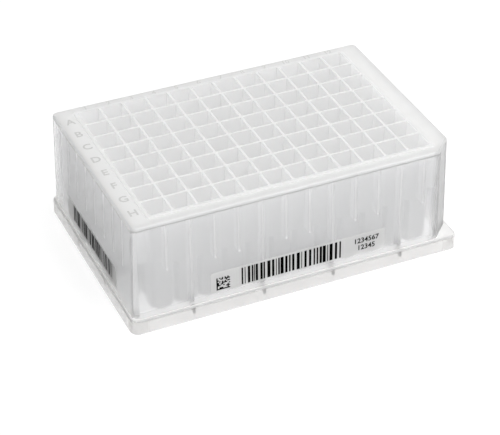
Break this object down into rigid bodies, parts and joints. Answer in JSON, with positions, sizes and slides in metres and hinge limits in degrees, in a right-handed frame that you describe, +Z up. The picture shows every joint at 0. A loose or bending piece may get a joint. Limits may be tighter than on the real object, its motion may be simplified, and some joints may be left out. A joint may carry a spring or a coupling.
{
  "type": "deep-well plate",
  "caption": "Translucent deep-well plate with square wells in a grid, a flanged base, one slanted corner and film labels on two sides.",
  "frame": {"origin": "middle of the footprint, on the surface that the flange stands on", "axes": "+X along the rows of wells towards the highest column number, +Y towards row A, +Z up out of the wells"},
  "size_m": [0.1278, 0.0854, 0.0436],
  "materials": {
    "natural_polypropylene": "satin, milky and translucent, with white print on the deck",
    "label_film": "satin grey film with black print"
  },
  "bodies": {
    "root": {"plate": "natural_polypropylene", "long_side_label": "label_film", "short_side_label": "label_film"}
  },
  "joints": []
}
